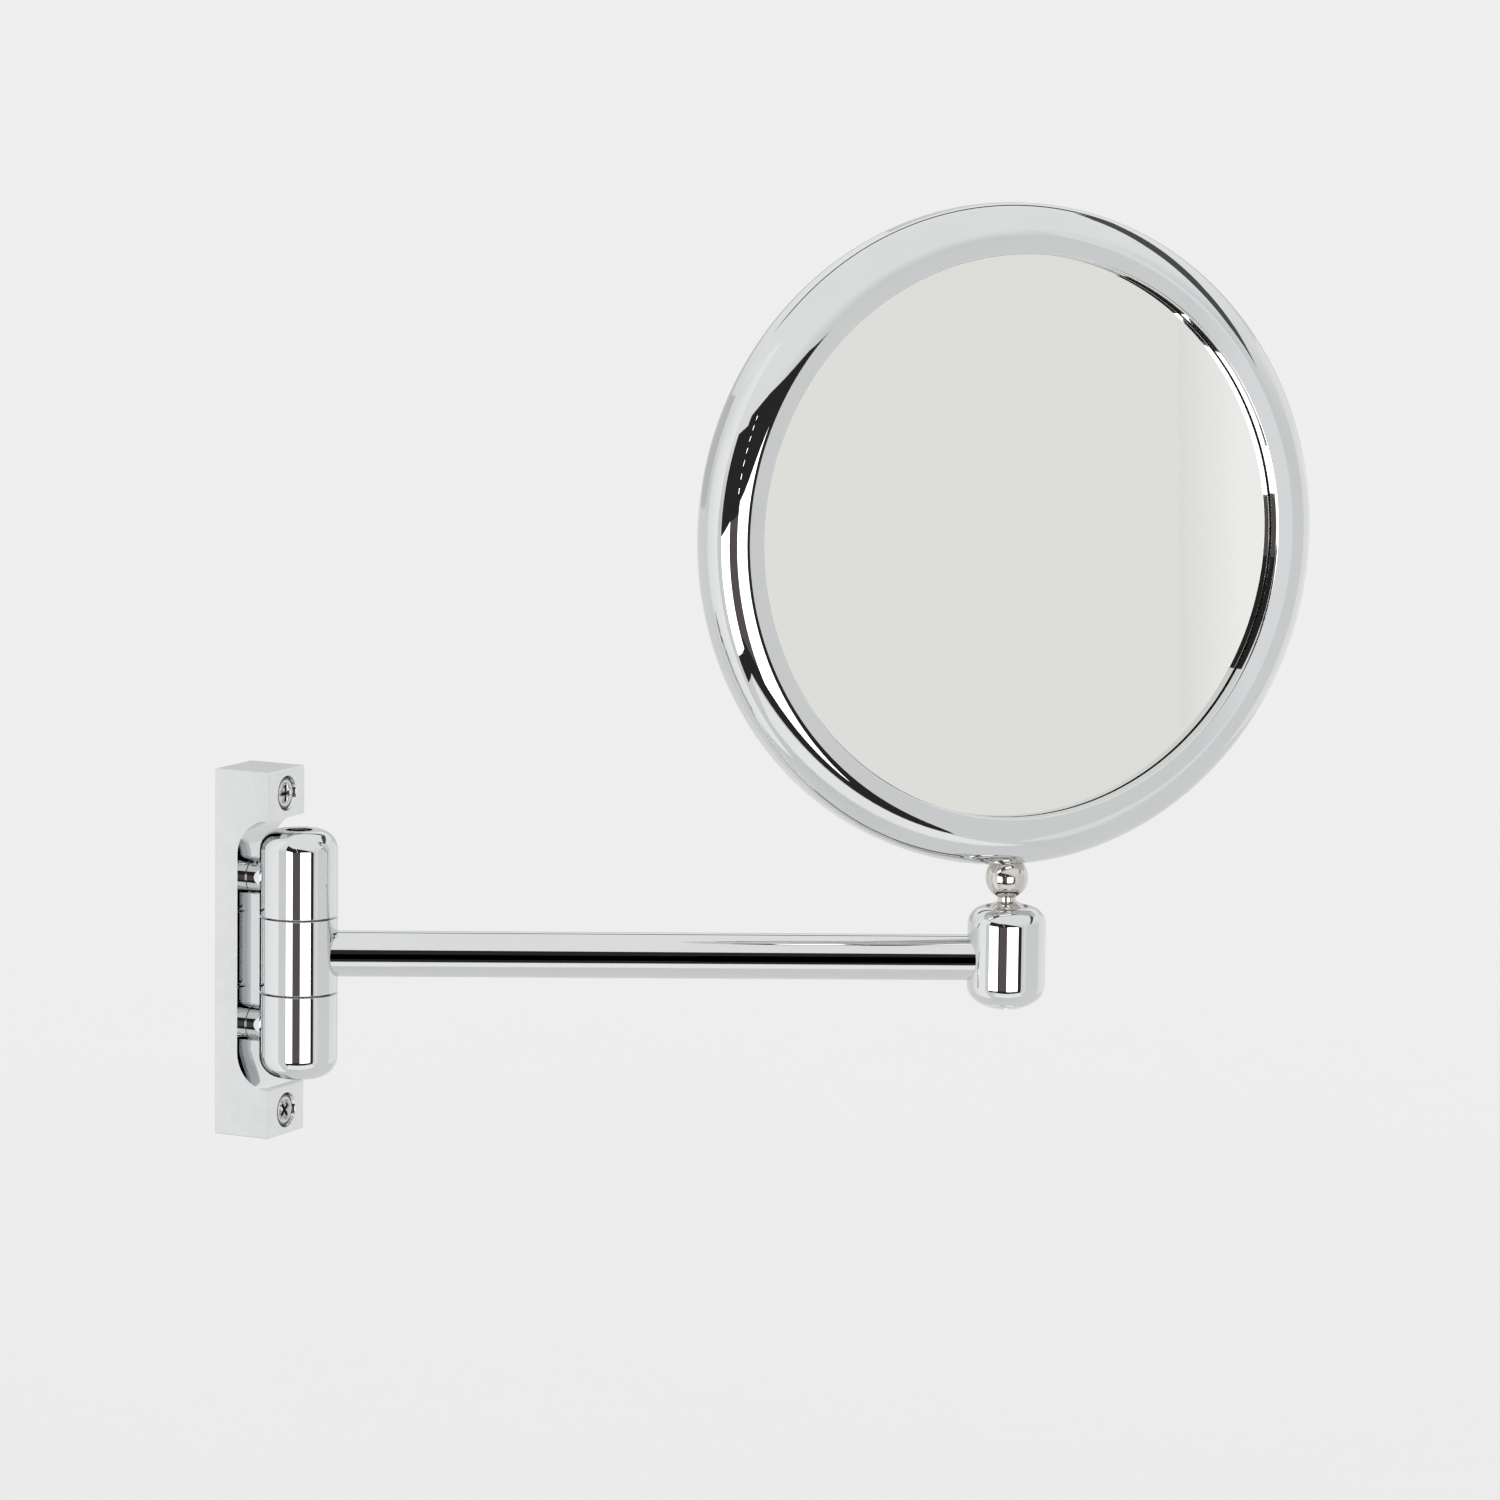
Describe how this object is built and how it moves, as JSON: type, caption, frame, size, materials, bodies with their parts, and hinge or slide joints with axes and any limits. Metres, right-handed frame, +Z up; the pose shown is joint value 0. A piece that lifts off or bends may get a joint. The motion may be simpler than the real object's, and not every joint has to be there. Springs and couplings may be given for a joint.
{
  "type": "extendable shaving mirror",
  "caption": "Wall-mounted round shaving mirror on a single swing arm, with a ball joint and a thick rounded ring holding plain and magnifying glass.",
  "frame": {"origin": "centre of the wall bracket's flat back face", "axes": "+Z up, +Y into the wall along the back face's normal, -Y out into the room, +X to the right when facing the wall"},
  "size_m": [0.199, 0.2768, 0.2846],
  "materials": {
    "polished_chrome": "polished chrome plate on brass",
    "zinc_steel": "bright zinc-plated steel",
    "bright_nickel": "turned stainless steel, softly polished",
    "plain_brass": "turned brass, unplated",
    "nylon": "natural nylon",
    "gasket_rubber": "black rubber",
    "fibre_board": "pressed fibre board",
    "silvered_glass": "silvered mirror glass"
  },
  "bodies": {
    "bracket": {"wall_bracket": "polished_chrome", "wall_screw_top": "zinc_steel", "wall_screw_bottom": "zinc_steel", "standoff_top": "polished_chrome", "standoff_bottom": "polished_chrome", "back_screw_top": "zinc_steel", "back_screw_bottom": "zinc_steel", "barrel_top_cap": "polished_chrome", "barrel_bottom_cap": "polished_chrome", "pivot_bolt": "zinc_steel", "spring_washer": "zinc_steel", "friction_washer_top": "nylon", "friction_washer_bottom": "nylon"},
    "arm": {"arm_hub": "polished_chrome", "hub_bush_top": "plain_brass", "hub_bush_bottom": "plain_brass", "arm_tube": "polished_chrome", "arm_spigot_inner": "plain_brass", "arm_spigot_outer": "plain_brass", "knuckle": "polished_chrome", "adjuster_plug": "polished_chrome", "pressure_spring": "zinc_steel", "pressure_cup": "plain_brass"},
    "seat": {"seat_ring": "nylon"},
    "liner": {"ball_liner": "nylon"},
    "mirror": {"ball_stem": "bright_nickel", "mirror_ring": "polished_chrome", "stud_boss": "plain_brass", "front_gasket": "gasket_rubber", "plain_glass": "silvered_glass", "backing_board": "fibre_board", "spacer_ring": "nylon", "back_gasket": "gasket_rubber", "magnifying_glass": "silvered_glass", "back_bezel": "polished_chrome"}
  },
  "joints": [
    {"name": "arm_swing", "type": "hinge", "parent": "bracket", "child": "arm", "pos_m": [0, -0.0233, 0], "axis": [0, 0, 1], "range_deg": [-119.2, 60.8]},
    {"name": "mirror_swivel", "type": "hinge", "parent": "arm", "child": "seat", "pos_m": [0.10465, -0.21054, 0.0107], "axis": [0, 0, 1], "continuous": true},
    {"name": "mirror_tilt", "type": "hinge", "parent": "seat", "child": "liner", "pos_m": [0.10465, -0.21054, 0.0107], "axis": [0.7672, -0.6414, 0], "range_deg": [-20, 24]},
    {"name": "mirror_lean", "type": "hinge", "parent": "liner", "child": "mirror", "pos_m": [0.10465, -0.21054, 0.0107], "axis": [-0.6411, -0.7668, 0.0314], "range_deg": [-18, 18]}
  ]
}
